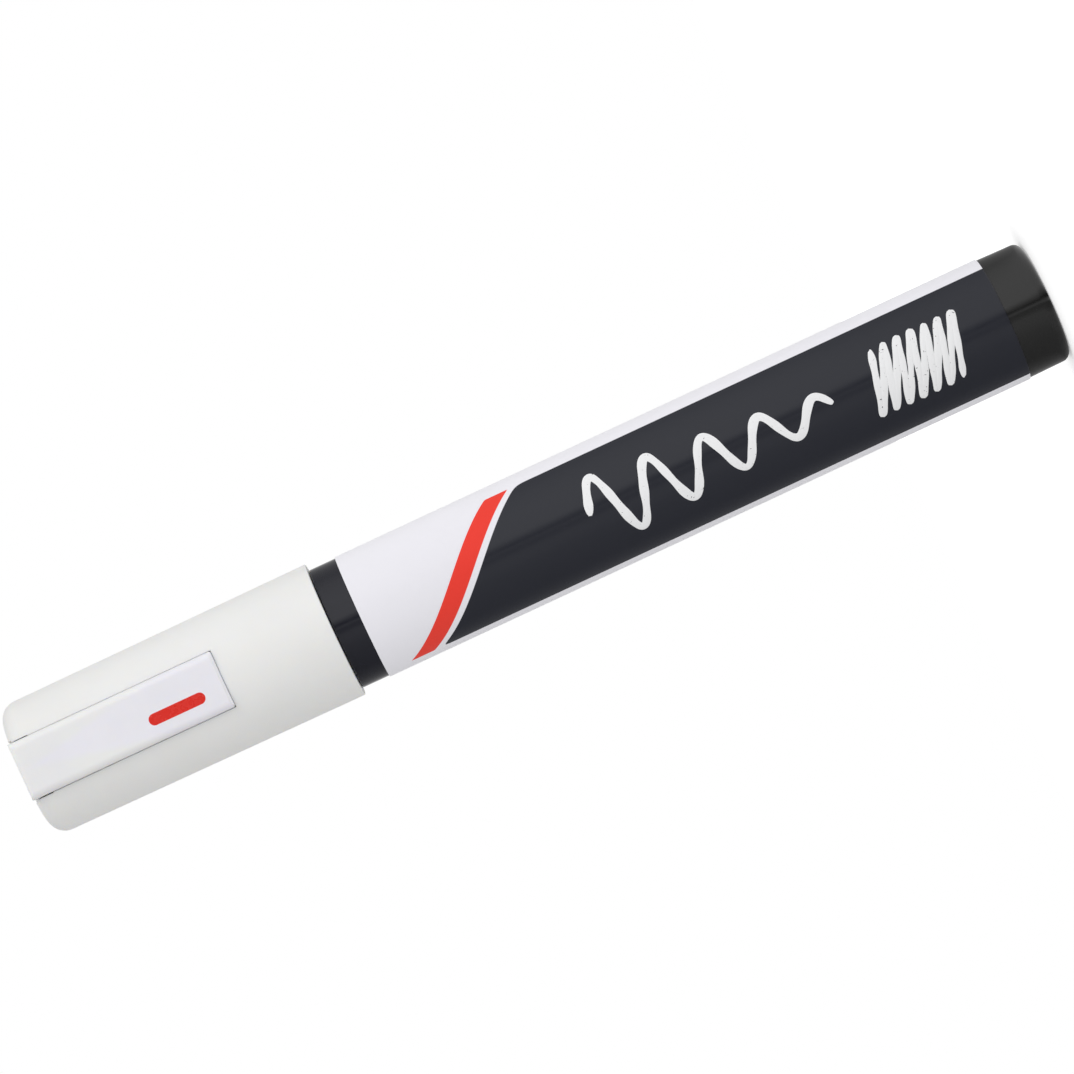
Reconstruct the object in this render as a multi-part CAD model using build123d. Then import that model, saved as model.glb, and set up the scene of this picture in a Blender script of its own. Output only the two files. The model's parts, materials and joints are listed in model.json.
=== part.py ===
from build123d import *
from math import cos, pi, sin, sqrt
import os

# Liquid chalk marker. Lengths are in millimetres.
# The pieces are drawn lying along X, with the clip on top. A station is the distance along X from
# the closed end of the cap, and a height is measured from the marker's axis.

# Barrel and label film
barrel_radius = 8.05
barrel_wall = 1.30
barrel_bevel = 0.12
bare_ring_length = 3.62
label_thickness = 0.15
label_length = 88.01
label_end_gap = 0.05

# Tail plug
tail_head_length = 5.77
tail_draft = 0.12
tail_end_round = 1.20
tail_end_wall = 1.60
tail_spigot_length = 8.90
tail_spigot_wall = 1.30

# Cap shell
cap_step = 0.90
cap_draft = 0.20
cap_wall = 1.25
cap_end_wall = 1.40
cap_end_round = 2.30
cap_mouth_round = 0.15
cap_inner_round = 0.60
cap_mouth_gap = 0.10
rib_thickness = 0.90
rib_inner_radius = 2.00
rib_setback = 4.00
rib_count = 6
rib_first_angle = 30

# Clip and its seat in the cap
clip_width = 7.55
clip_length = 27.50
clip_thickness = 1.00
clip_setback = 0.10
clip_crown_round = 0.95
clip_edge_round = 0.30
clip_corner_round = 0.50
clip_nose_bevel = 0.35
clip_nose_corner = 0.30
clip_lift = 0.12
pocket_wall = 0.70
pocket_gap = 0.05
pocket_end_gap = 0.04
nub_radius = 0.50
nub_length = 2.40
nub_gap = 0.05
nub_setback = 2.20
root_length = 2.30
root_gap = 0.35
root_side_gap = 0.14
root_tail = 0.95
slot_mouth_gap = 0.35
slot_mouth_length = 0.50
hinge_drop = 3.07
hinge_bar_radius = 0.70
hinge_bar_reach = 0.80
hinge_clearance = 0.06
socket_wall = 0.70
socket_side_wall = 1.60

# Seal liner inside the cap
liner_wall = 0.75
liner_end_wall = 0.90
liner_round = 0.50
liner_overlap = 3.00
lip_height = 0.15
lip_length = 1.00
lip_lead = 0.80
lip_clearance = 0.05

# Nose section
nib_tip_gap = 6.15
nose_tip_length = 5.00
nose_tip_wall = 1.50
nose_tip_round = 0.40
seal_land_radius = 5.20
seal_land_length = 5.00
flare_length = 5.50
collar_length = 11.05
collar_clearance = 0.15
snap_bead_height = 0.07
snap_bead_length = 1.20
snap_bead_setback = 4.00
ink_gallery_radius = 4.60
spigot_bevel = 0.30
fit_clearance = 0.02

# Nib and its guide sleeve
nib_radius = 2.00
nib_exposed = 5.50
nib_length = 25.50
nib_tip_round = 1.10
nib_taper_length = 2.60
nib_tip_radius = 1.45
nib_clearance = 0.08
sleeve_front_wall = 1.20
sleeve_length = 13.00
sleeve_wall = 0.82
sleeve_flare_gap = 2.00
flute_radius = 0.35
flute_count = 6

# Pump valve
rod_reach = 2.00
rod_radius = 1.10
rod_guide_length = 2.00
rod_guide_clearance = 0.08
valve_head_radius = 2.90
valve_head_length = 1.20
seat_hole_clearance = 0.80
seat_wall = 1.30
seat_ridge_height = 0.20
seat_ridge_width = 0.40
packing_length = 1.40
packing_inset = 0.20
packing_round = 0.25
valve_wall = 0.95
valve_step = 0.45
valve_flange_length = 1.50
valve_flange_step = 0.30
cage_grip_length = 2.00
cage_flange_length = 1.20
cage_flange_overlap = 0.60
cage_boss_length = 0.80
cage_boss_wall = 0.90
cage_window_radius = 0.45
cage_window_count = 8

# Valve spring
spring_length = 9.90
spring_wire_radius = 0.225
spring_mean_radius = 2.20
spring_turns = 7
spring_least_gap = 0.40
spring_arcs_per_turn = 4
gap_samples_per_turn = 48

# Mixing ball
ball_radius = 2.50
ball_gap = 0.05

# How far a cut runs past the surface it opens
overrun = 1.0

# Share of the wall that a rib or boss is rooted in, and of the clip's root ahead of its hinge
root_share = 0.5
hinge_share = 0.6

# Radii that follow from the sizes above
barrel_bore = barrel_radius - barrel_wall
label_radius = barrel_radius + label_thickness
cap_mouth_radius = barrel_radius + cap_step
cap_end_radius = cap_mouth_radius - cap_draft
spigot_radius = barrel_bore - fit_clearance
lip_radius = seal_land_radius + lip_clearance
liner_bore = lip_radius + lip_height
liner_radius = liner_bore + liner_wall
nib_hole_radius = nib_radius + nib_clearance
nose_tip_radius = nib_hole_radius + nose_tip_wall
sleeve_radius = nib_hole_radius + sleeve_wall
seat_hole_radius = rod_radius + seat_hole_clearance
valve_radius = ink_gallery_radius + valve_step
valve_bore = valve_radius - valve_wall
rod_guide_radius = rod_radius + rod_guide_clearance
tail_core_radius = spigot_radius - tail_spigot_wall

# Stations from the closed end of the cap to the tail
root_rear = clip_setback + root_length
slot_rear = root_rear + root_gap
liner_front = slot_rear + socket_wall
liner_floor = liner_front + liner_end_wall
nib_tip = liner_floor + nib_tip_gap
nose_front = nib_tip + nib_exposed
land_front = nose_front + nose_tip_length
land_rear = land_front + seal_land_length
collar_front = land_rear + flare_length
barrel_front = collar_front + collar_length
cap_length = barrel_front - cap_mouth_gap
label_front = barrel_front + bare_ring_length
label_rear = label_front + label_length
barrel_rear = label_rear + label_end_gap
overall_length = barrel_rear + tail_head_length
liner_rear = land_front + liner_overlap
rib_rear = liner_rear - rib_setback
clip_end = clip_setback + clip_length
tail_front = barrel_rear - tail_spigot_length
tail_core_end = overall_length - tail_end_wall

# Stations of the nib, its sleeve and the valve behind it
nib_rear = nib_tip + nib_length
sleeve_front = nose_front + sleeve_front_wall
sleeve_rear = sleeve_front + sleeve_length
sleeve_bore_rear = sleeve_rear - sleeve_flare_gap
valve_front = nib_rear + rod_reach
seat_face = valve_front + seat_wall
packing_front = seat_face + seat_ridge_height
head_front = packing_front + packing_length
head_rear = head_front + valve_head_length
spring_rear = head_rear + spring_length
nose_rear = spring_rear + cage_grip_length
valve_rear = nose_rear + valve_flange_length
cage_flange_rear = valve_rear + cage_flange_length
cage_rear = cage_flange_rear + cage_boss_length


def cap_radius(station):
    # Outside radius of the drafted cap
    return cap_end_radius + cap_draft * station / cap_length


def cap_bore(station):
    return cap_radius(station) - cap_wall


collar_radius = cap_bore(collar_front) - collar_clearance

# Heights above the marker's axis at the clip, whose underside is curved like the pocket below it
pocket_radius = cap_bore(clip_end) + pocket_wall
clip_underside = pocket_radius + clip_lift
clip_top = clip_underside + clip_thickness
hinge_height = clip_underside - hinge_drop
hinge_station = clip_setback + root_length * hinge_share
root_bottom = hinge_height - root_tail
clip_half_width = clip_width / 2
clip_skirt = sqrt(clip_underside**2 - clip_half_width**2)
slot_half_width = clip_half_width + root_side_gap
hinge_bar_half_length = slot_half_width + hinge_bar_reach


def outlined(*corners):
    # Flat face from (across, up) corners, each with an optional rounding
    points = [(across, up) for across, up, *_ in corners]
    roundings = [rest[0] if rest else 0 for _, _, *rest in corners]
    return make_face(FilletPolyline(*points, radius=roundings, close=True))


def turned(*corners):
    # Solid turned about the axis from (station, radius) corners
    return revolve(outlined(*corners), axis=Axis.X)


def rod(front, rear, radius, offset=0):
    # Round bar along the axis, raised by an offset
    return Pos((front + rear) / 2, 0, offset) * Rot(0, 90, 0) * Cylinder(radius, rear - front)


def cross_bar(station, height, radius, length):
    # Round bar across the marker
    return Pos(station, 0, height) * Rot(90, 0, 0) * Cylinder(radius, length)


def block(front, rear, half_width, bottom, top):
    middle = Pos((front + rear) / 2, 0, (bottom + top) / 2)
    return middle * Box(rear - front, 2 * half_width, top - bottom)


def around(piece, count, first_angle=0):
    # Copies of a piece spaced evenly about the axis
    return [Rot(first_angle + 360 * index / count, 0, 0) * piece for index in range(count)]


def make_cap_shell():
    envelope = turned(
        (0, 0),
        (0, cap_end_radius, cap_end_round),
        (cap_length, cap_mouth_radius, cap_mouth_round),
        (cap_length, 0),
    )
    hollow = turned(
        (cap_end_wall, 0),
        (cap_end_wall, cap_bore(cap_end_wall), cap_inner_round),
        (cap_length + overrun, cap_bore(cap_length + overrun)),
        (cap_length + overrun, 0),
    )
    rib_top = cap_bore(cap_end_wall) + cap_wall * root_share
    rib_front = cap_end_wall * root_share
    rib = block(rib_front, rib_rear, rib_thickness / 2, rib_inner_radius, rib_top)
    liner_room = rod(liner_front, rib_rear + overrun, liner_radius)
    slot_bottom = root_bottom - root_gap
    boss = block(
        rib_front,
        liner_front,
        slot_half_width + socket_side_wall,
        slot_bottom - socket_wall,
        clip_top,
    )
    slot = block(-overrun, slot_rear, slot_half_width, slot_bottom, clip_top + overrun)
    # Wider mouth of the slot in the cap's end face
    mouth_half_width = clip_half_width + slot_mouth_gap
    slot += block(-overrun, slot_mouth_length, mouth_half_width, slot_bottom, clip_top + overrun)
    pocket_end = clip_end + pocket_end_gap
    pocket = block(-overrun, pocket_end, clip_half_width + pocket_gap, 0, clip_top + overrun)
    pocket -= rod(-overrun, pocket_end, pocket_radius)
    socket_length = 2 * (hinge_bar_half_length + hinge_clearance)
    sockets = cross_bar(hinge_station, hinge_height, hinge_bar_radius + hinge_clearance, socket_length)
    shell = envelope - hollow
    shell += around(rib, rib_count, rib_first_angle)
    shell -= liner_room
    shell += boss & envelope
    return shell - slot - pocket - sockets


def make_cap_clip():
    # Side outline of the clip, with the root that drops into the cap's slot
    side = outlined(
        (clip_setback, root_bottom, clip_edge_round),
        (clip_setback, clip_top, clip_corner_round),
        (clip_end - clip_nose_bevel, clip_top),
        (clip_end, clip_top - clip_nose_bevel),
        (clip_end, clip_skirt),
        (root_rear, clip_skirt),
        (root_rear, root_bottom, clip_edge_round),
    )
    # Outline from above, with round corners at the free end
    plan = outlined(
        (0, -clip_half_width),
        (clip_end, -clip_half_width, clip_nose_corner),
        (clip_end, clip_half_width, clip_nose_corner),
        (0, clip_half_width),
    )
    # Cross section, with its long top edges well rounded
    section = outlined(
        (-clip_half_width, 0),
        (clip_half_width, 0),
        (clip_half_width, clip_top, clip_crown_round),
        (-clip_half_width, clip_top, clip_crown_round),
    )
    clip = extrude(Plane.XZ * side, clip_width, both=True)
    clip &= extrude(plan, clip_top + overrun)
    clip &= extrude(Plane.YZ * section, clip_end + overrun)
    clip -= rod(root_rear, clip_end + overrun, clip_underside)
    nub_height = pocket_radius + nub_gap + nub_radius
    clip += cross_bar(clip_end - nub_setback, nub_height, nub_radius, nub_length)
    return clip + cross_bar(hinge_station, hinge_height, hinge_bar_radius, 2 * hinge_bar_half_length)


def make_inner_cap():
    # Seal liner: a cup whose lip closes on the nose's seal land
    lip_rear = liner_rear - lip_lead
    lip_front = lip_rear - lip_length
    return turned(
        (liner_front, 0),
        (liner_front, liner_radius, liner_round),
        (liner_rear, liner_radius),
        (liner_rear, liner_bore),
        (lip_rear, lip_radius),
        (lip_front, lip_radius),
        (lip_front - lip_lead, liner_bore),
        (liner_floor, liner_bore, liner_round),
        (liner_floor, 0),
    )


def make_nib():
    # Bullet nib of bonded fibre
    return turned(
        (nib_tip, 0),
        (nib_tip, nib_tip_radius, nib_tip_round),
        (nib_tip + nib_taper_length, nib_radius),
        (nib_rear, nib_radius),
        (nib_rear, 0),
    )


def make_nib_sleeve():
    # Guide tube with ink flutes along its bore
    sleeve = turned(
        (sleeve_front, nib_hole_radius),
        (sleeve_front, sleeve_radius),
        (sleeve_rear, sleeve_radius),
        (sleeve_rear, nib_hole_radius),
    )
    flute = rod(sleeve_front - overrun, sleeve_rear + overrun, flute_radius, nib_hole_radius)
    return sleeve - around(flute, flute_count)


def make_nose_section():
    bead_middle = barrel_front - snap_bead_setback
    bead_half = snap_bead_length / 2
    return turned(
        (nose_front, nib_hole_radius),
        (nose_front, nose_tip_radius, nose_tip_round),
        (land_front, seal_land_radius),
        (land_rear, seal_land_radius),
        (collar_front, collar_radius),
        (bead_middle - bead_half, collar_radius),
        (bead_middle, collar_radius + snap_bead_height),
        (bead_middle + bead_half, collar_radius),
        (barrel_front, collar_radius),
        (barrel_front, spigot_radius),
        (nose_rear - spigot_bevel, spigot_radius),
        (nose_rear, spigot_radius - spigot_bevel),
        (nose_rear, valve_radius + fit_clearance),
        (valve_front, valve_radius + fit_clearance),
        (valve_front, ink_gallery_radius),
        (collar_front, ink_gallery_radius),
        (sleeve_bore_rear, sleeve_radius),
        (sleeve_front, sleeve_radius),
        (sleeve_front, nib_hole_radius),
    )


def make_valve_body():
    # Housing with the seat at its front and a flange at its rear
    flange_radius = spigot_radius - valve_flange_step
    return turned(
        (valve_front, seat_hole_radius),
        (valve_front, valve_radius),
        (nose_rear, valve_radius),
        (nose_rear, flange_radius),
        (valve_rear, flange_radius),
        (valve_rear, valve_bore),
        (seat_face, valve_bore),
        (seat_face, seat_hole_radius + seat_ridge_width),
        (packing_front, seat_hole_radius + seat_ridge_width),
        (packing_front, seat_hole_radius),
    )


def make_valve_rod():
    # Push rod with the valve head and a guide stem
    return turned(
        (nib_rear, 0),
        (nib_rear, rod_radius),
        (head_front, rod_radius),
        (head_front, valve_head_radius),
        (head_rear, valve_head_radius),
        (head_rear, rod_radius),
        (spring_rear + rod_guide_length, rod_radius),
        (spring_rear + rod_guide_length, 0),
    )


def make_valve_packing():
    # Rubber washer on the rod in front of the valve head
    return turned(
        (packing_front, rod_radius),
        (packing_front, valve_head_radius - packing_inset, packing_round),
        (head_front, valve_head_radius - packing_inset),
        (head_front, rod_radius),
    )


def make_valve_cage():
    # Rear retainer: carries the spring, guides the rod and lets ink through its windows
    grip_radius = valve_bore - fit_clearance
    cage = turned(
        (spring_rear, rod_guide_radius),
        (spring_rear, grip_radius),
        (valve_rear, grip_radius),
        (valve_rear, valve_bore + cage_flange_overlap),
        (cage_flange_rear, valve_bore + cage_flange_overlap),
        (cage_flange_rear, rod_guide_radius + cage_boss_wall),
        (cage_rear, rod_guide_radius + cage_boss_wall),
        (cage_rear, rod_guide_radius),
    )
    spring_outer = spring_mean_radius + spring_wire_radius
    window_offset = (spring_outer + grip_radius) / 2
    window = rod(spring_rear - overrun, cage_rear + overrun, cage_window_radius, window_offset)
    return cage - around(window, cage_window_count)


def coil_point(turn):
    # Point and direction of the coil's centre line after so many turns
    pitch = (spring_length - 2 * spring_wire_radius) / spring_turns
    angle = 2 * pi * turn
    station = head_rear + spring_wire_radius + pitch * turn
    point = Vector(station, spring_mean_radius * cos(angle), spring_mean_radius * sin(angle))
    around_axis = 2 * pi * spring_mean_radius
    direction = Vector(pitch, -around_axis * sin(angle), around_axis * cos(angle))
    return point, direction.normalized()


def coil_arcs(first_turn, last_turn):
    # Two arcs that meet tangentially between two points of the coil
    start, start_way = coil_point(first_turn)
    end, end_way = coil_point(last_turn)
    chord = end - start
    ways = start_way + end_way
    squared = 2 * (1 - start_way.dot(end_way))
    linear = 2 * chord.dot(ways)
    reach = (sqrt(linear * linear + 4 * squared * chord.dot(chord)) - linear) / (2 * squared)
    meeting = (start + start_way * reach + end - end_way * reach) * 0.5
    first_arc = Edge.make_tangent_arc(start, start_way, meeting)
    return [first_arc, Edge.make_tangent_arc(meeting, first_arc % 1, end)]


def coil_gap():
    # Least gap between the wire of neighbouring turns, measured on points of the centre line
    count = spring_turns * gap_samples_per_turn
    points = [coil_point(index / gap_samples_per_turn)[0] for index in range(count + 1)]
    apart = gap_samples_per_turn // 2
    nearest = min(
        (points[later] - points[index]).length
        for index in range(len(points) - apart)
        for later in range(index + apart, len(points))
    )
    return nearest - 2 * spring_wire_radius


def make_valve_spring():
    steps = spring_turns * spring_arcs_per_turn
    arcs = []
    for step in range(steps):
        arcs += coil_arcs(step / spring_arcs_per_turn, (step + 1) / spring_arcs_per_turn)
    path = Wire(arcs)
    section = Plane(path @ 0, z_dir=path % 0) * Circle(spring_wire_radius)
    gap = coil_gap()
    print("least gap between turns of the valve spring:", round(gap, 3))
    assert gap > spring_least_gap
    return sweep(section, path=path)


def make_barrel():
    return turned(
        (barrel_front, barrel_bore),
        (barrel_front, barrel_radius - barrel_bevel),
        (barrel_front + barrel_bevel, barrel_radius),
        (barrel_rear, barrel_radius),
        (barrel_rear, barrel_bore),
    )


def make_barrel_label():
    # Printed film wrapped round the barrel
    return turned(
        (label_front, barrel_radius),
        (label_front, label_radius),
        (label_rear, label_radius),
        (label_rear, barrel_radius),
    )


def make_tail_plug():
    return turned(
        (tail_front, tail_core_radius),
        (tail_front, spigot_radius - spigot_bevel),
        (tail_front + spigot_bevel, spigot_radius),
        (barrel_rear, spigot_radius),
        (barrel_rear, barrel_radius),
        (overall_length, barrel_radius - tail_draft, tail_end_round),
        (overall_length, 0),
        (tail_core_end, 0),
        (tail_core_end, tail_core_radius),
    )


def make_mixing_ball():
    # Steel ball at the bottom of the tail plug's core, against its wall
    station = tail_core_end - ball_gap - ball_radius
    height = ball_radius + ball_gap - tail_core_radius
    return Pos(station, 0, height) * Sphere(ball_radius)


pieces = {
    "cap_shell": make_cap_shell,
    "cap_clip": make_cap_clip,
    "inner_cap": make_inner_cap,
    "nib": make_nib,
    "nib_sleeve": make_nib_sleeve,
    "nose_section": make_nose_section,
    "valve_body": make_valve_body,
    "valve_rod": make_valve_rod,
    "valve_packing": make_valve_packing,
    "valve_spring": make_valve_spring,
    "valve_cage": make_valve_cage,
    "barrel": make_barrel,
    "barrel_label": make_barrel_label,
    "tail_plug": make_tail_plug,
    "mixing_ball": make_mixing_ball,
}

# The finished marker stands on its tail at the origin, with the clip facing -Y
standing = Plane(origin=(0, 0, overall_length), x_dir=(0, 0, -1), z_dir=(0, -1, 0))

os.makedirs("parts", exist_ok=True)
for name, make_piece in pieces.items():
    piece = standing.location * make_piece()
    piece.label = name
    export_step(piece, f"parts/{name}.step")
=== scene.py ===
import json
from math import cos, hypot, pi, radians, sin

import bmesh
import bpy
from mathutils import Matrix, Vector


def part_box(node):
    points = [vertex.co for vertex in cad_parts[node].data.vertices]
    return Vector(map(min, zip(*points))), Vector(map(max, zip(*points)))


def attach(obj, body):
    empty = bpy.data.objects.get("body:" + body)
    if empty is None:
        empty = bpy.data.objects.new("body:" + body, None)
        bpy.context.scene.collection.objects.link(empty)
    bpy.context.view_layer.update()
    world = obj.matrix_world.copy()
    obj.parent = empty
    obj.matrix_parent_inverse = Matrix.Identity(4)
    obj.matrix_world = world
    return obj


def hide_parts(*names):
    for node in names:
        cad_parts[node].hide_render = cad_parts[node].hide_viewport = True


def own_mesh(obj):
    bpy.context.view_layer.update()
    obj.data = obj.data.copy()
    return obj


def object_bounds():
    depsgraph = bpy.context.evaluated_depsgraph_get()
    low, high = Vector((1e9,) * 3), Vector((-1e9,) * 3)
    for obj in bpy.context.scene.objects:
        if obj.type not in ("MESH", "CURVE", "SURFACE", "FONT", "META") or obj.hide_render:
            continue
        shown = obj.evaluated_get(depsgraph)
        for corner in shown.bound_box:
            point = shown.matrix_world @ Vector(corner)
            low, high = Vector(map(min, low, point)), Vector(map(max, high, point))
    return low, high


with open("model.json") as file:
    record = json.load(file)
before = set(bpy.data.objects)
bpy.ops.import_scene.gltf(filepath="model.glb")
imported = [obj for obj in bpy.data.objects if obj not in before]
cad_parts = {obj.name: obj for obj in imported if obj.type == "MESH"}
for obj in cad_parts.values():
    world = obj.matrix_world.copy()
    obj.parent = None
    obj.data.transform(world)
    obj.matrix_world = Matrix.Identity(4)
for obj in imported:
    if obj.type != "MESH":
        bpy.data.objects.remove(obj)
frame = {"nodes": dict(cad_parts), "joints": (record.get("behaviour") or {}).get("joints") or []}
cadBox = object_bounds()
nodes = frame["nodes"]
mm = 0.001                                # a millimetre in Blender's metres
print("frame loaded,", len(nodes), "CAD nodes")


class Wire:                               # a node's output, ready for plain arithmetic
    def __init__(self, paint, socket):
        self.paint = paint
        self.socket = socket

    def calc(self, operation, *others):
        return self.paint.node("Math", {"operation": operation}, (self, *others))

    def __add__(self, other):
        return self.calc("ADD", other)

    def __sub__(self, other):
        return self.calc("SUBTRACT", other)

    def __rsub__(self, other):
        return self.paint.node("Math", {"operation": "SUBTRACT"}, (other, self))

    def __mul__(self, other):
        return self.calc("MULTIPLY", other)

    def __neg__(self):
        return self * -1

    def __abs__(self):
        return self.calc("ABSOLUTE")

    __radd__ = __add__
    __rmul__ = __mul__


# rays that look for an edge, and the cosines of a normal's lean between which an edge fades in
edgeSearch = {"rays": 6, "lean": (0.995, 0.93)}


class Paint:                              # one material or world, and the nodes made in it
    def __init__(self, owner):
        owner.use_nodes = True
        owner.node_tree.nodes.clear()
        self.owner = owner
        self.tree = owner.node_tree

    def node(self, kind, settings=None, sockets=(), out=0):
        made = self.tree.nodes.new("ShaderNode" + kind)
        for key, value in (settings or {}).items():
            if key == "stops":
                self.setStops(made.color_ramp.elements, value)
            else:
                setattr(made, key, value)
        pairs = sockets.items() if isinstance(sockets, dict) else enumerate(sockets)
        for key, value in pairs:
            socket = made.inputs[key]
            if isinstance(value, Wire):
                self.tree.links.new(value.socket, socket)
            else:
                socket.default_value = (*value, 1.0) if socket.type == "RGBA" else value
        return Wire(self, made.outputs[out]) if made.outputs else None

    def setStops(self, elements, stops):  # grey levels along a colour ramp
        for position, grey in stops[2:]:
            elements.new(position)
        for element, (position, grey) in zip(elements, stops):
            element.position = position
            element.color = (grey, grey, grey, 1.0)

    def place(self):                      # where a point is on its piece, in millimetres
        point = self.node("TexCoord", out="Object")
        return self.node("VectorMath", {"operation": "SCALE"}, {0: point, "Scale": 1 / mm})

    def axes(self, vector):
        split = self.node("SeparateXYZ", None, (vector,))
        return [Wire(self, socket) for socket in split.socket.node.outputs]

    def noise(self, where, density, detail):  # density per mm: one number, or one along each axis
        if isinstance(density, tuple):
            where = self.node("VectorMath", {"operation": "MULTIPLY"}, (where, density))
            density = 1.0
        return self.node("TexNoise", None, {"Vector": where, "Scale": density, "Detail": detail})

    def ramp(self, value, low, high, first=0.0, second=1.0):
        return self.node("MapRange", {"clamp": True}, (value, low, high, first, second))

    def mottle(self, where, pattern, first=0.0, second=1.0):
        density, detail, low, high = pattern  # low and high: the noise between which it fades in
        return self.ramp(self.noise(where, density, detail), low, high, first, second)

    def blend(self, mask, first, second):
        return self.node("Mix", {"data_type": "RGBA"}, {0: mask, 6: first, 7: second}, out=2)

    def edges(self, radius):              # a normal rounded over the edges, and where they are
        soft = self.node("Bevel", {"samples": edgeSearch["rays"]}, {"Radius": radius * mm})
        flat = self.node("NewGeometry", out="Normal")
        same = self.node("VectorMath", {"operation": "DOT_PRODUCT"}, (soft, flat), out="Value")
        return soft, self.ramp(same, *edgeSearch["lean"])

    def relief(self, height, depth, normal=None):
        sockets = {"Strength": 1.0, "Distance": depth * mm, "Height": height}
        if normal is not None:
            sockets["Normal"] = normal
        return self.node("Bump", None, sockets)

    def surface(self, sockets):
        shader = self.node("BsdfPrincipled", None, sockets)
        self.node("OutputMaterial", None, {"Surface": shader})
        return self.owner


def newPaint(name):
    return Paint(bpy.data.materials.new(name))


def glow(wall):                           # light that goes through a thin pale wall
    return {
        "Subsurface Weight": wall["share"],
        "Subsurface Radius": wall["tint"],
        "Subsurface Scale": wall["reach"] * mm,
    }


def dress(material, *names):              # a finish for CAD nodes whose shape stays
    for name in names:
        for slot in nodes[name].material_slots:
            slot.material = material


def meshPiece(name, points, faces, material, sharpAngle=35):
    build = bmesh.new()
    verts = [build.verts.new(point) for point in points]
    for face in faces:
        build.faces.new([verts[index] for index in face]).smooth = True
    bmesh.ops.recalc_face_normals(build, faces=build.faces)
    for edge in build.edges:
        edge.smooth = edge.calc_face_angle(0) < radians(sharpAngle)
    mesh = bpy.data.meshes.new(name)
    build.to_mesh(mesh)
    build.free()
    mesh.materials.append(material)
    piece = bpy.data.objects.new(name, mesh)
    bpy.context.scene.collection.objects.link(piece)
    return piece


def tubeFaces(rows, columns, closeRows, closeColumns):
    faces = []
    for row in range(rows if closeRows else rows - 1):
        for column in range(columns if closeColumns else columns - 1):
            here = row * columns
            there = (row + 1) % rows * columns
            after = (column + 1) % columns
            faces.append((here + column, here + after, there + after, there + column))
    return faces


def endCaps(rows, columns):               # faces that close a tube's first and last row
    return [tuple(range(columns)), tuple(range((rows - 1) * columns, rows * columns))]


def limit(value):                         # held between 0 and 1
    return min(max(value, 0.0), 1.0)


def between(pair, share):                 # part of the way from the first to the second
    return pair[0] + (pair[1] - pair[0]) * share


# sizes that the pieces below share, read from the frame in millimetres
capTop = cadBox[1].z / mm
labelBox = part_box("barrel_label")
filmRadius = labelBox[1].x / mm
filmTop = labelBox[1].z / mm
filmFoot = labelBox[0].z / mm
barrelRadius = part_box("barrel")[1].x / mm
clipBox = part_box("cap_clip")
clipFace = clipBox[0].y / mm
clipEnd = clipBox[0].z / mm
clipRoot = clipBox[1].z / mm
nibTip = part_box("nib")[1].z / mm

# camera: square to the marker's side, the cap at the lower left of the picture (lengths in metres)
shot = {
    "climb": 24.93,                       # the marker's slope in the picture, degrees
    "turn": 2.3,                          # how far the clip is turned to the picture's top, degrees
    "distance": 0.75,
    "span": 0.1339,                       # what the picture's width takes in at the marker
    "aimHeight": 0.0699,
    "aimAside": -0.00015,
    "sensor": 36.0,                       # in millimetres, as Blender's cameras have it
    "nearest": 0.01,
}


def makeCamera():
    turn = radians(shot["turn"])
    climb = radians(shot["climb"])
    back = Vector((-sin(turn), -cos(turn), 0))
    aside = Vector((cos(turn), -sin(turn), 0))
    tailward = Vector((0, 0, -1))
    right = cos(climb) * tailward - sin(climb) * aside
    up = sin(climb) * tailward + cos(climb) * aside
    aim = Vector((0, 0, shot["aimHeight"])) + aside * shot["aimAside"]
    camera = bpy.data.cameras.new("camera")
    camera.sensor_width = shot["sensor"]
    camera.lens = shot["sensor"] * shot["distance"] / shot["span"]
    camera.clip_start = shot["nearest"]
    body = bpy.data.objects.new("camera", camera)
    spin = Matrix((right, up, back)).transposed().to_4x4()
    body.matrix_world = Matrix.Translation(aim + back * shot["distance"]) @ spin
    bpy.context.scene.collection.objects.link(body)
    bpy.context.scene.camera = body


makeCamera()
bpy.context.scene.view_settings.view_transform = "Standard"
print("camera set")

# white floor, even light with a soft key, and a tent round it all that only the gloss sees (in metres)
studio = {
    "white": (1.0, 1.0, 1.0),
    "lightLevel": 0.74,
    "lampSize": 0.4,
    "lampDistance": 0.55,
    "lampHeight": 0.25,
    # angle from the camera towards +X, power
    "lamps": {"key": (40, 0.9), "backFill": (178, 0.65)},
    "floorRadius": 0.4,
    "floorDrop": 0.02 * mm,               # keeps the floor and the tail's face apart
    "floorWhite": (0.92, 0.92, 0.92),
    "floorLift": 0.33,                    # keeps the bare floor white in the picture
    "sides": 96,
    "tentRadius": (0.006, 0.30),          # its floor's inner edge, and its wall
    "tentLift": 0.05 * mm,                # keeps it clear of the floor
    "tentHeight": 0.80,
    "tentFloor": 0.88,                    # brightness of its floor against its wall
    "tentFloorBand": 0.01,                # height over which the one turns into the other
    # angle from the camera towards +X, brightness there
    "tent": (
        (-180, 0.9), (-152, 0.4), (-128, 0.29), (-91, 0.17), (-56, 0.27), (-40, 0.33), (-25, 0.46),
        (-14, 0.48), (-8, 0.24), (-2.2, 0.2), (-1.4, 0.55), (1.0, 0.55), (1.8, 0.03), (4.5, 0.05),
        (8, 0.4), (15, 1.0), (48, 1.0), (64, 0.93), (81, 0.76), (102, 0.42), (128, 0.36), (152, 0.4),
        (180, 0.9),
    ),
}


def fromCamera(angle, reach, height):     # a place round the marker, from the camera's direction
    turned = radians(angle - shot["turn"])
    return Vector((reach * sin(turned), -reach * cos(turned), height))


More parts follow.
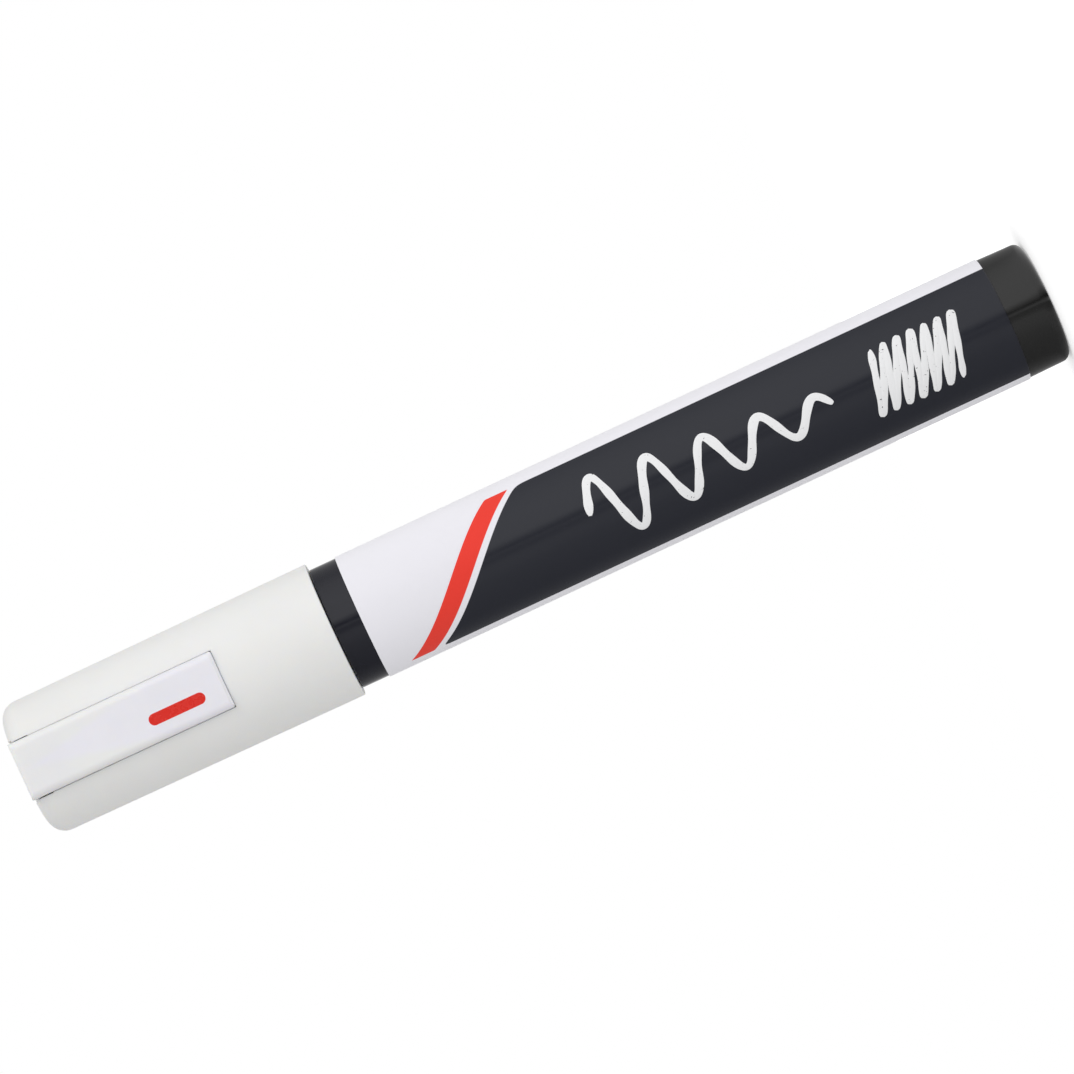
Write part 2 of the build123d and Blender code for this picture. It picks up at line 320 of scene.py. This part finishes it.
def unlit(paint):                         # 1 where a ray only looks and lights nothing
    kinds = ("Is Camera Ray", "Is Glossy Ray", "Is Transmission Ray")
    seen, mirrored, through = [paint.node("LightPath", out=kind) for kind in kinds]
    return seen.calc("MAXIMUM", mirrored).calc("MAXIMUM", through)


def makeWorld():
    world = bpy.data.worlds.new("studioWorld")
    paint = Paint(world)
    level = paint.ramp(unlit(paint), 0.0, 1.0, studio["lightLevel"], 1.0)
    sky = paint.node("Background", None, {"Color": studio["white"], "Strength": level})
    paint.node("OutputWorld", None, {"Surface": sky})
    bpy.context.scene.world = world


def makeLamp(name, angle, power):
    light = bpy.data.lights.new(name, "AREA")
    light.energy = power
    light.size = studio["lampSize"]
    lamp = bpy.data.objects.new(name, light)
    aim = Vector((0, 0, shot["aimHeight"]))
    lamp.location = fromCamera(angle, studio["lampDistance"], studio["lampHeight"])
    lamp.rotation_euler = (aim - lamp.location).to_track_quat("-Z", "Y").to_euler()
    lamp.visible_glossy = False
    bpy.context.scene.collection.objects.link(lamp)


def makeFloor():
    paint = newPaint("floorPaint")
    lift = unlit(paint) * studio["floorLift"]
    matte = paint.node("BsdfDiffuse", None, {"Color": studio["floorWhite"]})
    shine = paint.node("Emission", None, {"Color": studio["white"], "Strength": lift})
    both = paint.node("AddShader", None, (matte, shine))
    paint.node("OutputMaterial", None, {"Surface": both})
    sides = studio["sides"]
    corner = (studio["floorRadius"], -studio["floorDrop"])
    rim = [fromCamera(360 * side / sides, *corner) for side in range(sides)]
    meshPiece("floor", rim, [tuple(range(sides))], paint.owner)


def makeTent():
    paint = newPaint("tentPaint")
    x, y, z = paint.axes(paint.node("TexCoord", out="Object"))
    bearing = x.calc("ARCTAN2", -y) * (180 / pi) + shot["turn"]
    stops = [(angle / 360 + 0.5, brightness) for angle, brightness in studio["tent"]]
    around = paint.node("ValToRGB", {"stops": stops}, (paint.ramp(bearing, -180, 180),))
    level = paint.ramp(z, 0.0, studio["tentFloorBand"], studio["tentFloor"], 1.0)
    shine = paint.node("Emission", None, {"Color": around, "Strength": level})
    paint.node("OutputMaterial", None, {"Surface": shine})
    inner, outer = studio["tentRadius"]
    lift = studio["tentLift"]
    profile = ((inner, lift), (outer, lift), (outer, studio["tentHeight"]))
    sides = studio["sides"]
    points = [fromCamera(360 * side / sides, *corner) for side in range(sides) for corner in profile]
    tent = meshPiece("tent", points, tubeFaces(sides, len(profile), True, False), paint.owner)
    tent.visible_camera = False
    tent.visible_diffuse = False
    tent.visible_shadow = False
    tent.visible_transmission = False


makeWorld()
for lampName, (angle, power) in studio["lamps"].items():
    makeLamp(lampName, angle, power)
makeFloor()
makeTent()
print("studio set")

# From here on lengths are in millimetres. A noise is its density per mm and its detail, and a pattern
# adds the two values of the noise between which it fades in.

# cap: matte moulding with a fine eroded texture and the gate's mark in its end
capFinish = {
    "white": (0.832, 0.832, 0.822),
    "creamy": (0.788, 0.785, 0.762),
    "creamClouds": (0.09, 3.0, 0.35, 0.7),
    "creamShare": 0.45,
    "rubbed": (0.7, 4.0, 0.3, 0.7),
    "roughness": (0.46, 0.62),
    "grain": (6.0, 3.0),
    "grainDepth": 0.010,
    "edgeRound": 0.15,
    "edgeRoughness": 0.38,
    "gateRadius": 1.1,
    "gateWidth": 0.16,
    "gateDepth": 0.05,
    "gateBelowEnd": (0.4, 0.3),           # where the mark fades in, below the cap's end
    "glow": {"share": 0.4, "reach": 0.7, "tint": (1.0, 0.85, 0.62)},
}


def capPlastic():
    paint = newPaint("capPlastic")
    place = paint.place()
    x, y, z = paint.axes(place)
    cream = paint.mottle(place, capFinish["creamClouds"], 0.0, capFinish["creamShare"])
    rub = paint.mottle(place, capFinish["rubbed"], *capFinish["roughness"])
    soft, edge = paint.edges(capFinish["edgeRound"])
    fromAxis = (x * x + y * y).calc("SQRT")
    ring = paint.ramp(abs(fromAxis - capFinish["gateRadius"]), 0.0, capFinish["gateWidth"], 1.0, 0.0)
    gate = ring * paint.ramp(z, *(capTop - below for below in capFinish["gateBelowEnd"]))
    grain = paint.noise(place, *capFinish["grain"])
    bumps = paint.relief(grain, capFinish["grainDepth"], soft)
    return paint.surface({
        "Base Color": paint.blend(cream, capFinish["white"], capFinish["creamy"]),
        "Roughness": rub + edge * (capFinish["edgeRoughness"] - capFinish["roughness"][0]),
        "Normal": paint.relief(-gate, capFinish["gateDepth"], bumps),
        **glow(capFinish["glow"]),
    })


# clip: smoother than the cap, with a painted bluish reflection over its face, and one plain printed
# dash
clipFinish = {
    # the clip's white with a painted bluish reflection over its flat face
    "white": (0.837, 0.829, 0.879),
    "plain": (0.837, 0.839, 0.83),        # less of the painted blue reflection towards the root and along the edges
    "plainRoot": (-0.3, 3.5),             # from the root's end, on the clip's middle line
    "plainSpread": 4.7,                   # how much further the plain tone reaches, per mm aside
    "plainEdge": 0.8,
    "shade": (0.788, 0.783, 0.832),
    "shadeClouds": (0.16, 3.0, 0.35, 0.75),
    "shadeShare": 0.5,
    "rubbed": (0.9, 4.0, 0.3, 0.7),
    "roughness": (0.3, 0.42),
    "grain": (3.0, 3.0),
    "grainDepth": 0.004,
    "edgeRound": 0.2,
    "red": (0.73, 0.02, 0.009),
    "dashFromEnd": 6.6,                   # middle of the dash, from the clip's free end
    "dashAside": -1.05,
    "dashLength": 7.6,
    "dashHeight": 1.5,
    "dashEdge": 0.04,
    "dashBelowFace": (0.25, 0.2),         # the print is on the clip's face alone
    "dashRagged": (9.0, 2.0),
    "dashRaggedness": 0.05,
    "dashRelief": 1.5,                    # against the grain's
    "dashGloss": 0.1,
    "glow": {"share": 0.4, "reach": 0.7, "tint": (1.0, 0.85, 0.62)},
}


def printedDash(paint, place):            # 1 on the dash, 0 beside it
    x, y, z = paint.axes(place)
    rounding = clipFinish["dashHeight"] / 2
    middle = clipEnd + clipFinish["dashFromEnd"]
    along = (abs(z - middle) - (clipFinish["dashLength"] / 2 - rounding)).calc("MAXIMUM", 0.0)
    aside = x - clipFinish["dashAside"]
    away = (along * along + aside * aside).calc("SQRT")
    ragged = paint.noise(place, *clipFinish["dashRagged"]) * clipFinish["dashRaggedness"]
    front = paint.ramp(y, *(clipFace + below for below in clipFinish["dashBelowFace"]))
    return paint.ramp(away + ragged, rounding + clipFinish["dashEdge"], rounding) * front


def clipPlastic():
    paint = newPaint("clipPlastic")
    place = paint.place()
    x, _, z = paint.axes(place)
    soft, edge = paint.edges(clipFinish["edgeRound"])
    # painted reflection: a bluish tone over the clip's face, fading out towards the root and along the
    # edges
    fromRoot = clipRoot - z - abs(x) * clipFinish["plainSpread"]
    paintedReflection = paint.ramp(fromRoot, *clipFinish["plainRoot"]) * (1 - edge * clipFinish["plainEdge"])
    white = paint.blend(paintedReflection, clipFinish["plain"], clipFinish["white"])
    shade = paint.mottle(place, clipFinish["shadeClouds"], 0.0, clipFinish["shadeShare"])
    white = paint.blend(shade, white, clipFinish["shade"])
    dash = printedDash(paint, place)
    rub = paint.mottle(place, clipFinish["rubbed"], *clipFinish["roughness"])
    grain = paint.noise(place, *clipFinish["grain"]) + dash * clipFinish["dashRelief"]
    return paint.surface({
        "Base Color": paint.blend(dash, white, clipFinish["red"]),
        "Roughness": rub - dash * clipFinish["dashGloss"],
        "Normal": paint.relief(grain, clipFinish["grainDepth"], soft),
        **glow(clipFinish["glow"]),
    })


# black mouldings: glossy, with fine drawn lines, a few hairline scratches and paler edges
blackFinish = {
    "barrelTone": (0.0125, 0.013, 0.0195),
    "barrelIor": 1.46,
    "tailTone": (0.0138, 0.0138, 0.0136),
    "tailIor": 1.54,
    "dulled": (0.35, 4.0, 0.35, 0.75),
    "roughness": (0.08, 0.15),
    "grain": (1.6, 3.0),
    "grainDepth": 0.0012,
    "drawnLines": ((9.0, 9.0, 0.12), 2.0),
    "drawnRelief": 0.5,                   # against the grain's
    "scratches": ((26.0, 26.0, 0.5), 1.0, 0.72, 0.8),
    "scratchRelief": 0.8,
    "scratchRoughness": 0.12,
    "edgeRound": 0.12,
    "edgeGrey": (0.045, 0.046, 0.05),
    "edgeShare": 0.6,
}


def blackPlastic(name, tone, ior):
    paint = newPaint(name)
    place = paint.place()
    soft, edge = paint.edges(blackFinish["edgeRound"])
    drawn = paint.noise(place, *blackFinish["drawnLines"]) * blackFinish["drawnRelief"]
    scratch = paint.mottle(place, blackFinish["scratches"])
    dull = paint.mottle(place, blackFinish["dulled"], *blackFinish["roughness"])
    grain = paint.noise(place, *blackFinish["grain"]) + drawn - scratch * blackFinish["scratchRelief"]
    return paint.surface({
        "Base Color": paint.blend(edge * blackFinish["edgeShare"], tone, blackFinish["edgeGrey"]),
        "Roughness": dull + scratch * blackFinish["scratchRoughness"],
        "IOR": ior,
        "Normal": paint.relief(grain, blackFinish["grainDepth"], soft),
    })


barrelBlack = blackPlastic("barrelBlack", blackFinish["barrelTone"], blackFinish["barrelIor"])
tailBlack = blackPlastic("tailBlack", blackFinish["tailTone"], blackFinish["tailIor"])
dress(capPlastic(), "cap_shell")
dress(clipPlastic(), "cap_clip")
dress(barrelBlack, "barrel", "nose_section")
dress(tailBlack, "tail_plug")
print("cap, clip and black mouldings dressed")

# label: printed film, wrapped once with its end lapped over at the back
film = {
    "segments": 192,
    "lapAngle": 152,                      # where the cut end lies, from the clip's side towards +X
    "lapWidth": 3.2,
    "lapLift": 0.06,
    "lapRise": 1.6,
    "rim": 0.05,
    "white": (0.869, 0.861, 0.903),
    "greyer": (0.78, 0.775, 0.80),
    "greyClouds": (0.12, 3.0),
    "greyShare": 0.12,
    "black": (0.0235, 0.0252, 0.0345),
    "red": (0.88, 0.042, 0.022),
    "leadStart": 17.0,                    # where the front panel's slanted edge crosses the middle
    "leadSlope": 0.95,
    "upperEdge": 7.6,                     # panel edges, from the middle line round the film
    "lowerEdge": 9.9,
    "cornerRound": 1.2,
    "stripeGap": 0.8,
    "stripeWidth": 2.3,
    "stripeRound": 0.3,
    "backMiddle": 50.0,
    "backHalfLength": 26.0,
    "backHalfWidth": 5.4,
    "rubbed": (0.5, 4.0, 0.3, 0.75),
    "roughness": (0.14, 0.2),
    "bareRoughness": 0.27,                # added where the film isn't black
    "chalkiness": 0.6,                    # how evenly the white print keeps its tone towards the sides
    "peel": (0.8, 2.0),
    "peelDepth": 0.0012,
    "printRelief": 0.6,                   # against the peel's
    "printEdge": 0.03,
    "ior": 1.4,
}


def printedShapes(paint, place):          # 1 on the black panels, and 1 on the red stripe
    x, y, z = paint.axes(place)
    along = filmTop - z                   # from the film's end at the cap
    around = x.calc("ARCTAN2", -y) * filmRadius
    behind = x.calc("ARCTAN2", y) * filmRadius
    lean = 1 / hypot(1, film["leadSlope"])
    lead = (along - film["leadStart"] - around * film["leadSlope"]) * lean
    sides = (around - film["upperEdge"]).calc("MAXIMUM", -around - film["lowerEdge"])
    panel = sides.calc("SMOOTH_MAX", -lead, film["cornerRound"])
    halfStripe = film["stripeWidth"] / 2
    stripe = abs(lead + (film["stripeGap"] + halfStripe)) - halfStripe
    stripe = sides.calc("SMOOTH_MAX", stripe, film["stripeRound"])
    ends = abs(along - film["backMiddle"]) - film["backHalfLength"]
    rear = (abs(behind) - film["backHalfWidth"]).calc("SMOOTH_MAX", ends, film["cornerRound"])
    edge = film["printEdge"]
    black = paint.ramp(panel.calc("MINIMUM", rear), edge, -edge)
    return black, paint.ramp(stripe, edge, -edge)


def printedFilm():
    paint = newPaint("printedFilm")
    place = paint.place()
    black, red = printedShapes(paint, place)
    grey = paint.noise(place, *film["greyClouds"]) * film["greyShare"]
    colour = paint.blend(grey, film["white"], film["greyer"])
    colour = paint.blend(red, colour, film["red"])
    colour = paint.blend(black, colour, film["black"])
    rub = paint.mottle(place, film["rubbed"], *film["roughness"])
    peel = paint.noise(place, *film["peel"]) + (black + red) * film["printRelief"]
    return paint.surface({
        "Base Color": colour,
        "Roughness": rub + (1 - black) * film["bareRoughness"],
        "Diffuse Roughness": film["chalkiness"],
        "IOR": film["ior"],
        "Normal": paint.relief(peel, film["peelDepth"]),
    })


def onFilm(along, around, height):        # a point on the film, from its own flat layout
    reach = filmRadius + height
    angle = around / filmRadius
    return Vector((reach * sin(angle), -reach * cos(angle), filmTop - along)) * mm


def wrapFilm(material):
    girth = 2 * pi * filmRadius
    start = radians(film["lapAngle"]) * filmRadius
    length = filmTop - filmFoot
    inside = barrelRadius - filmRadius
    rim = film["rim"]
    profile = ((0, -rim), (rim, 0), (length - rim, 0), (length, -rim), (length, inside), (0, inside))
    columns = film["segments"] + 1
    points = []
    for along, height in profile:
        for index in range(columns):
            share = index / film["segments"]
            rise = limit((film["lapWidth"] + film["lapRise"] - girth * (1 - share)) / film["lapRise"])
            lift = film["lapLift"] * rise * rise * (3 - 2 * rise) if height > inside else 0.0
            points.append(onFilm(along, start + girth * share, height + lift))
    faces = tubeFaces(len(profile), columns, True, True)
    wrap = meshPiece("labelFilm", points, faces, material)
    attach(wrap, "marker")
    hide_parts("barrel_label")


wrapFilm(printedFilm())
print("label film wrapped")

# chalk strokes printed on the film: a squiggle and a hatched patch in front, line samples behind
chalk = {
    # across a stroke, in shares of its half width and of its thickness
    "section": ((-1.0, 0.0), (-0.62, 0.8), (0.0, 1.0), (0.62, 0.8), (1.0, 0.0)),
    "thickness": 0.035,
    "sink": 0.02,
    "taper": 1.4,
    "endShare": 0.35,                     # width of a stroke's ends against its middle
    "wobbleBeats": (1.7, 0.61),           # two uneven beats in a stroke's width, radians per mm
    "wobblePhase": 1.0,
    "sharpAngle": 60,
    "white": (0.86, 0.862, 0.872),
    "gapTone": (0.0125, 0.013, 0.016),
    "dryPatches": ((2.2, 2.2, 1.1), 3.0),
    "gapRange": (0.37, 0.33),             # mean of both noises where the film shows through
    "roughness": (0.62, 0.8),
    "crumbs": (5.0, 3.0),
    "crumbRange": (0.3, 0.7),
    "crumbDepth": 0.012,
}
squiggle = {
    "start": 31.0,
    "end": 64.0,
    "swing": (4.7, 1.5),
    "waves": 4.5,
    "middle": -0.9,
    "width": 1.05,
    "wobble": 0.09,
    "climb": 0.0,
    "steps": 420,
}
hatch = {
    "start": 69.5,
    "end": 81.5,
    "swing": 4.1,
    "strokes": 13,
    "lean": 2.6,
    "middle": -0.9,
    "width": 0.86,
    "wobble": 0.09,
    "climb": 0.6,                         # how much thicker it ends, so that it lies on itself
    "steps": 520,
}
samples = {
    "start": 29.0,
    "end": 71.0,
    "sway": 0.28,
    "waves": 2.4,
    "apart": 3.2,
    "widths": (0.6, 1.1, 1.8),
    "wobble": 0.03,
    "climb": 0.0,
    "steps": 160,
}


def chalkInk():
    paint = newPaint("chalkInk")
    place = paint.place()
    dry = paint.noise(place, *chalk["dryPatches"])
    crumbs = paint.noise(place, *chalk["crumbs"])
    bare = paint.ramp((dry + crumbs) * 0.5, *chalk["gapRange"])
    return paint.surface({
        "Base Color": paint.blend(bare, chalk["white"], chalk["gapTone"]),
        "Roughness": paint.ramp(crumbs, *chalk["crumbRange"], *chalk["roughness"]),
        "Normal": paint.relief(crumbs - bare, chalk["crumbDepth"]),
    })


def strokeWidth(run, whole, wobble):      # share of the full width, at a run along the stroke
    fromEnd = min(run, whole - run) / chalk["taper"]
    thin = chalk["endShare"] + (1 - chalk["endShare"]) * min(fromEnd, 1.0) ** 0.5
    first, second = chalk["wobbleBeats"]
    return thin * (1 + wobble * (sin(run * first) + sin(run * second + chalk["wobblePhase"])))


def chalkStroke(name, line, plan, width, material):
    steps = plan["steps"]
    flat = [line(step / steps) for step in range(steps + 1)]
    runs = [0.0]
    for here, after in zip(flat, flat[1:]):
        runs.append(runs[-1] + hypot(after[0] - here[0], after[1] - here[1]))
    foot = ((1.0, -chalk["sink"]), (-1.0, -chalk["sink"]))
    points = []
    for step, (along, around) in enumerate(flat):
        before = flat[max(step - 1, 0)]
        after = flat[min(step + 1, steps)]
        reach = hypot(after[0] - before[0], after[1] - before[1])
        ahead = ((after[0] - before[0]) / reach, (after[1] - before[1]) / reach)
        half = strokeWidth(runs[step], runs[-1], plan["wobble"]) * width / 2
        top = chalk["thickness"] * (1 + plan["climb"] * step / steps)
        crown = [(share, top * height) for share, height in chalk["section"]]
        for share, height in (*crown, *foot):
            aside = share * half
            points.append(onFilm(along - ahead[1] * aside, around + ahead[0] * aside, height))
    rows = steps + 1
    columns = len(chalk["section"]) + len(foot)
    faces = tubeFaces(rows, columns, False, True) + endCaps(rows, columns)
    stroke = meshPiece(name, points, faces, material, chalk["sharpAngle"])
    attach(stroke, "marker")


def squiggleLine(share):
    along = between((squiggle["start"], squiggle["end"]), share)
    swing = between(squiggle["swing"], share)
    return along, squiggle["middle"] + swing * sin(2 * pi * squiggle["waves"] * share)


def hatchLine(share):
    along = between((hatch["start"], hatch["end"]), share)
    sway = cos(pi * hatch["strokes"] * share)
    return along + hatch["lean"] * sway / 2, hatch["middle"] + hatch["swing"] * sway


def sampleLine(row):                      # one of the line samples, side by side at the back
    middle = pi * filmRadius + (row - 1) * samples["apart"]

    def line(share):
        along = between((samples["start"], samples["end"]), share)
        return along, middle + samples["sway"] * sin(2 * pi * samples["waves"] * share + row)

    return line


chalkWhite = chalkInk()
chalkStroke("chalkSquiggle", squiggleLine, squiggle, squiggle["width"], chalkWhite)
chalkStroke("chalkHatch", hatchLine, hatch, hatch["width"], chalkWhite)
for row, width in enumerate(samples["widths"]):
    chalkStroke("chalkSample%d" % (row + 1), sampleLine(row), samples, width, chalkWhite)
print("chalk strokes printed")

# nib: bonded fibre, drawn along its length, wet with white ink at the tip
nibFinish = {
    "fibre": (0.80, 0.79, 0.76),
    "shadow": (0.58, 0.565, 0.53),
    "shadowShare": 0.8,
    "strands": ((11.0, 11.0, 0.7), 3.0),
    "strandRange": (0.62, 0.34),
    "strandDepth": 0.02,
    "ink": (0.86, 0.865, 0.87),
    "inkCover": 0.85,
    "inkBelowTip": (2.4, 1.44),           # where the ink starts, and where it is full
    "inkEdge": (1.4, 3.0),
    "inkUneven": 1.2,
    "dryRoughness": 0.85,
    "wetRoughness": 0.55,
}


def nibFibre():
    paint = newPaint("nibFibre")
    place = paint.place()
    z = paint.axes(place)[2]
    strands = paint.noise(place, *nibFinish["strands"])
    dark = paint.ramp(strands, *nibFinish["strandRange"], 0.0, nibFinish["shadowShare"])
    fibre = paint.blend(dark, nibFinish["fibre"], nibFinish["shadow"])
    uneven = (paint.noise(place, *nibFinish["inkEdge"]) - 0.5) * nibFinish["inkUneven"]
    wet = paint.ramp(z + uneven, *(nibTip - below for below in nibFinish["inkBelowTip"]))
    dryness = nibFinish["dryRoughness"] - nibFinish["wetRoughness"]
    return paint.surface({
        "Base Color": paint.blend(wet * nibFinish["inkCover"], fibre, nibFinish["ink"]),
        "Roughness": nibFinish["dryRoughness"] - wet * dryness,
        "Normal": paint.relief(strands, nibFinish["strandDepth"]),
    })


# inner mouldings: unpigmented plastic with flow marks
milkFinish = {
    "linerTone": (0.80, 0.81, 0.80),
    "sleeveTone": (0.74, 0.755, 0.75),
    "valveTone": (0.78, 0.785, 0.77),
    "flow": ((0.6, 0.6, 0.14), 4.0),
    "flowRange": (0.3, 0.7),
    "flowTone": 0.86,                     # of the plastic's own tone
    "roughness": (0.28, 0.42),
    "grain": (2.2, 3.0),
    "grainRange": (0.3, 0.7),
    "grainDepth": 0.006,
    "glow": {"share": 0.25, "reach": 0.6, "tint": (1.0, 1.0, 1.0)},
}


def milkyPlastic(name, tone):
    paint = newPaint(name)
    place = paint.place()
    flow = paint.noise(place, *milkFinish["flow"])
    grain = paint.noise(place, *milkFinish["grain"])
    deeper = tuple(part * milkFinish["flowTone"] for part in tone)
    return paint.surface({
        "Base Color": paint.blend(paint.ramp(flow, *milkFinish["flowRange"]), tone, deeper),
        "Roughness": paint.ramp(grain, *milkFinish["grainRange"], *milkFinish["roughness"]),
        "Normal": paint.relief(grain + flow, milkFinish["grainDepth"]),
        **glow(milkFinish["glow"]),
    })


# rubber washer, with a pale bloom
rubberFinish = {
    "tone": (0.035, 0.035, 0.037),
    "bloom": (0.09, 0.09, 0.092),
    "bloomPatches": (0.9, 4.0, 0.45, 0.75),
    "bloomShare": 0.7,
    "roughness": 0.62,
    "bloomRoughness": 0.25,
    "grain": (5.0, 3.0),
    "grainDepth": 0.012,
}


def rubber():
    paint = newPaint("washerRubber")
    place = paint.place()
    bloom = paint.mottle(place, rubberFinish["bloomPatches"], 0.0, rubberFinish["bloomShare"])
    grain = paint.noise(place, *rubberFinish["grain"])
    return paint.surface({
        "Base Color": paint.blend(bloom, rubberFinish["tone"], rubberFinish["bloom"]),
        "Roughness": rubberFinish["roughness"] + bloom * rubberFinish["bloomRoughness"],
        "Normal": paint.relief(grain, rubberFinish["grainDepth"]),
    })


# steel: drawn spring wire and a polished ball
steelFinish = {
    "bright": (0.62, 0.61, 0.59),
    "dull": (0.44, 0.43, 0.42),
    "dullRange": (0.35, 0.7),
    "roughRange": (0.3, 0.7),
    "wireLines": ((12.0, 12.0, 3.0), 3.0),
    "wireRoughness": (0.2, 0.36),
    "ballLines": (3.0, 3.0),
    "ballRoughness": (0.05, 0.12),
    "lineDepth": 0.002,
}


def steel(name, texture, roughness):
    paint = newPaint(name)
    lines = paint.noise(paint.place(), *texture)
    dull = paint.ramp(lines, *steelFinish["dullRange"])
    return paint.surface({
        "Base Color": paint.blend(dull, steelFinish["bright"], steelFinish["dull"]),
        "Metallic": 1.0,
        "Roughness": paint.ramp(lines, *steelFinish["roughRange"], *roughness),
        "Normal": paint.relief(lines, steelFinish["lineDepth"]),
    })


# valve spring: one wire with its end turns drawn together, made at its rest length, though the real
# one shortens as the nib opens the valve
spring = {
    "turns": 7,
    "wireRadius": 0.225,
    "closedShare": 0.28,                  # rise of an end turn against that of a middle one
    "closedTurns": (0.8, 1.3),            # turns from an end over which the coil opens
    "stepsPerTurn": 36,
    "sides": 10,
    "sharpAngle": 60,
}


def springHeights(length):                # height of the wire's middle after each step
    steps = spring["turns"] * spring["stepsPerTurn"]
    first, last = spring["closedTurns"]
    rises = [0.0]
    for step in range(steps):
        turn = (step + 0.5) / spring["stepsPerTurn"]
        opened = limit((min(turn, spring["turns"] - turn) - first) / (last - first))
        rises.append(rises[-1] + between((spring["closedShare"], 1.0), opened))
    scale = (length - 2 * spring["wireRadius"]) / rises[-1]
    return [spring["wireRadius"] + rise * scale for rise in rises]


def coilSpring(material):
    foot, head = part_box("valve_spring")
    length = (head.z - foot.z) / mm
    wire = spring["wireRadius"]
    reach = head.x / mm - wire
    heights = springHeights(length)
    rows = len(heights)
    sides = spring["sides"]
    twoSteps = 4 * pi * reach / spring["stepsPerTurn"]
    points = []
    for step, height in enumerate(heights):
        angle = 2 * pi * step / spring["stepsPerTurn"]
        outward = Vector((cos(angle), sin(angle), 0))
        rise = heights[min(step + 1, rows - 1)] - heights[max(step - 1, 0)]
        ahead = Vector((-sin(angle), cos(angle), rise / twoSteps)).normalized()
        across = ahead.cross(outward)
        middle = outward * reach + Vector((0, 0, foot.z / mm + height))
        for side in range(sides):
            turned = 2 * pi * side / sides
            points.append((middle + (outward * cos(turned) + across * sin(turned)) * wire) * mm)
    faces = tubeFaces(rows, sides, False, True) + endCaps(rows, sides)
    coil = meshPiece("coilSpring", points, faces, material, spring["sharpAngle"])
    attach(coil, "marker")
    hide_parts("valve_spring")
    stroke = next(joint for joint in frame["joints"] if joint["name"] == "valve_lift")["range_m"][1]
    1 - stroke / (length * mm)
    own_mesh(coil)


springSteel = steel("springSteel", steelFinish["wireLines"], steelFinish["wireRoughness"])
ballSteel = steel("ballSteel", steelFinish["ballLines"], steelFinish["ballRoughness"])
dress(nibFibre(), "nib")
dress(milkyPlastic("linerPlastic", milkFinish["linerTone"]), "inner_cap")
dress(milkyPlastic("sleevePlastic", milkFinish["sleeveTone"]), "nib_sleeve")
dress(milkyPlastic("valvePlastic", milkFinish["valveTone"]), "valve_body", "valve_rod", "valve_cage")
dress(rubber(), "valve_packing")
coilSpring(springSteel)
dress(ballSteel, "mixing_ball")
print("inner pieces dressed")
